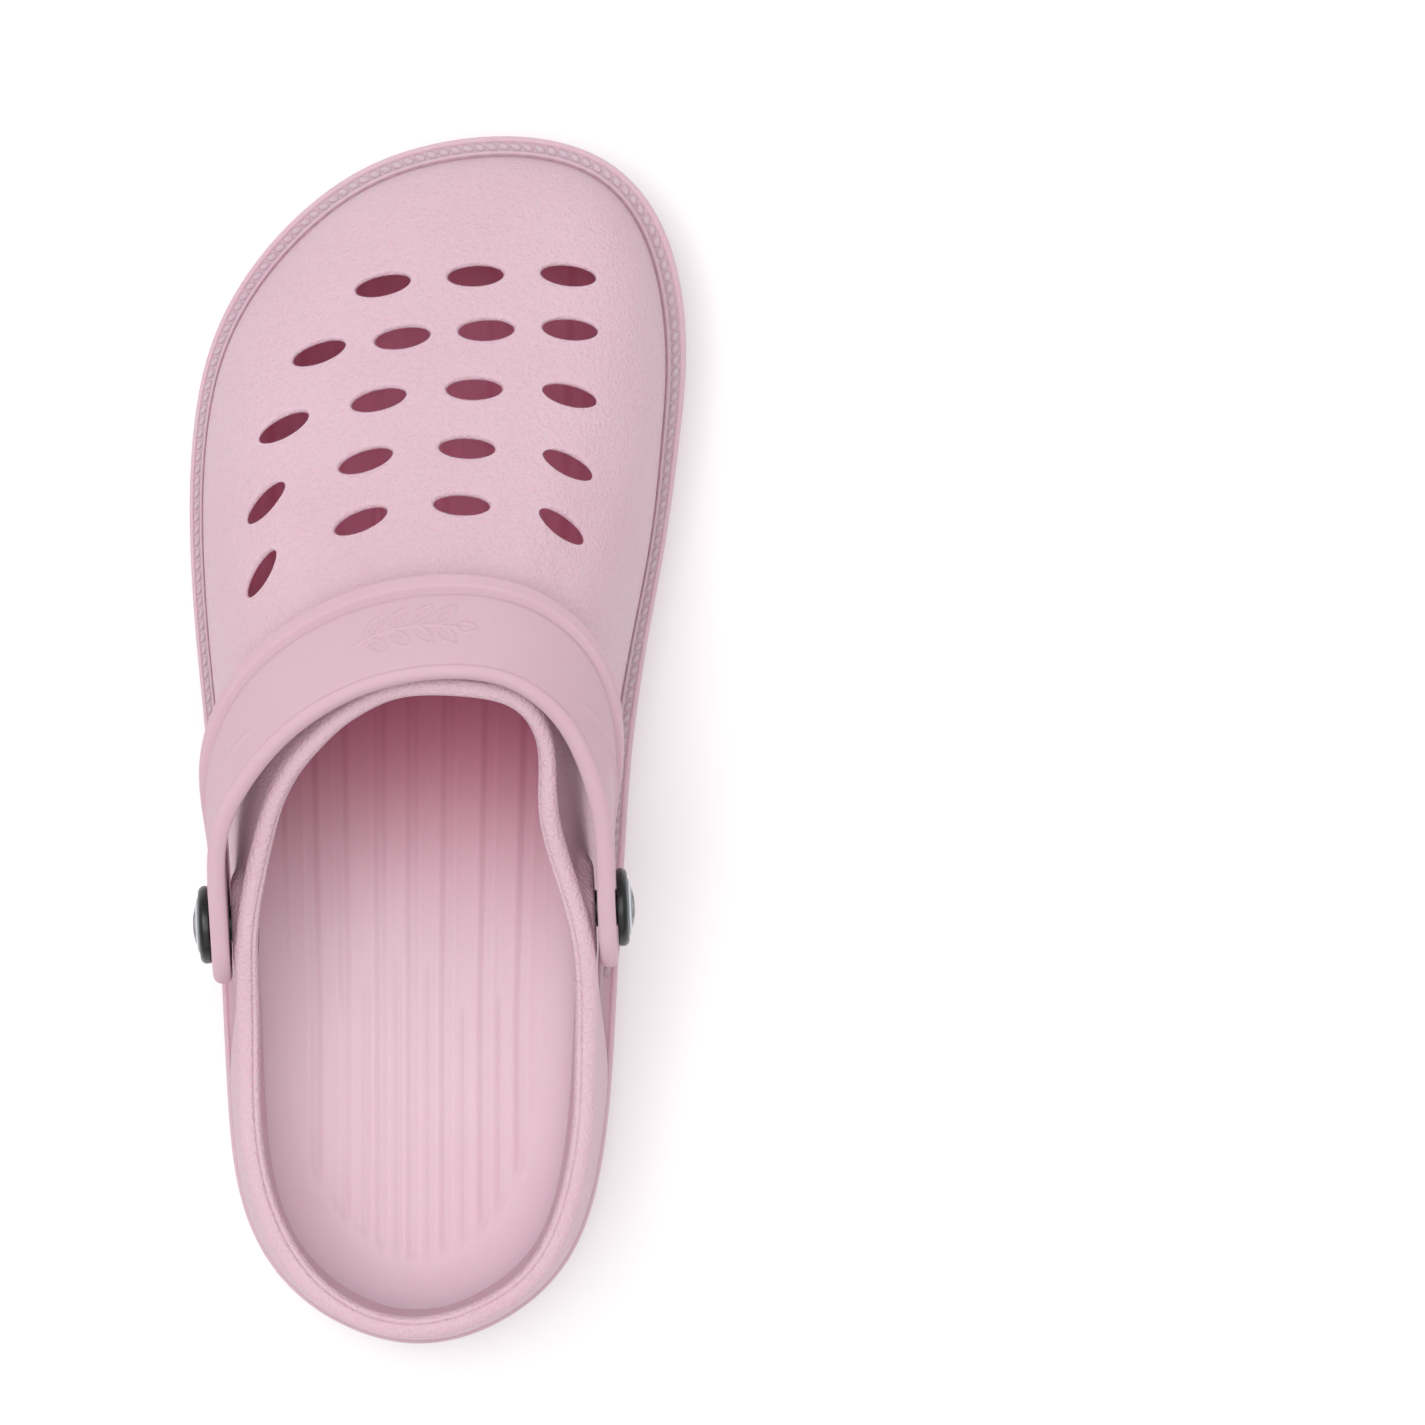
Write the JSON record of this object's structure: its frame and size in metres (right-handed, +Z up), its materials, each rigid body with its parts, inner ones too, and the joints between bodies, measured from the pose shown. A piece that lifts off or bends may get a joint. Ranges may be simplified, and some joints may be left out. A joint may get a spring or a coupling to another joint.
{
  "type": "foam garden clog",
  "caption": "Slip-on moulded foam clog, left shoe, with a vented toe box, a ribbed footbed and a heel strap that turns on snap rivets.",
  "frame": {"origin": "middle of the shoe's box on the ground", "axes": "+Y to the toe, -X to the outer (lateral) side of a left foot, +Z up"},
  "size_m": [0.1092, 0.2654, 0.1003],
  "materials": {
    "sole_foam": "moulded closed-cell foam, satin, fine hatched side wall",
    "upper_foam": "moulded closed-cell foam, satin, fine pebble grain",
    "footbed_foam": "moulded closed-cell foam, satin, ribbed",
    "strap_foam": "moulded closed-cell foam, satin",
    "rivet_plastic": "black moulded polymer, semi-gloss",
    "emblem_metal": "printed grey disc with a bright ring"
  },
  "bodies": {
    "shoe": {"outsole": "sole_foam", "upper_shell": "upper_foam", "footbed": "footbed_foam"},
    "strap": {"heel_strap": "strap_foam"},
    "rivet_lateral": {"rivet_cap_lateral": "rivet_plastic", "rivet_emblem_lateral": "emblem_metal", "rivet_post_lateral": "rivet_plastic"},
    "rivet_medial": {"rivet_cap_medial": "rivet_plastic", "rivet_emblem_medial": "emblem_metal", "rivet_post_medial": "rivet_plastic"}
  },
  "joints": [
    {"name": "strap_swing", "type": "hinge", "parent": "shoe", "child": "strap", "pos_m": [-0.00453, -0.03823, 0.057], "axis": [0.9991, 0.0426, 0], "range_deg": [0, 116.5]},
    {"name": "rivet_lateral_turn", "type": "hinge", "parent": "shoe", "child": "rivet_lateral", "pos_m": [-0.00453, -0.03823, 0.057], "axis": [0.9991, 0.0426, 0], "continuous": true},
    {"name": "rivet_medial_turn", "type": "hinge", "parent": "shoe", "child": "rivet_medial", "pos_m": [-0.00453, -0.03823, 0.057], "axis": [0.9991, 0.0426, 0], "continuous": true}
  ]
}
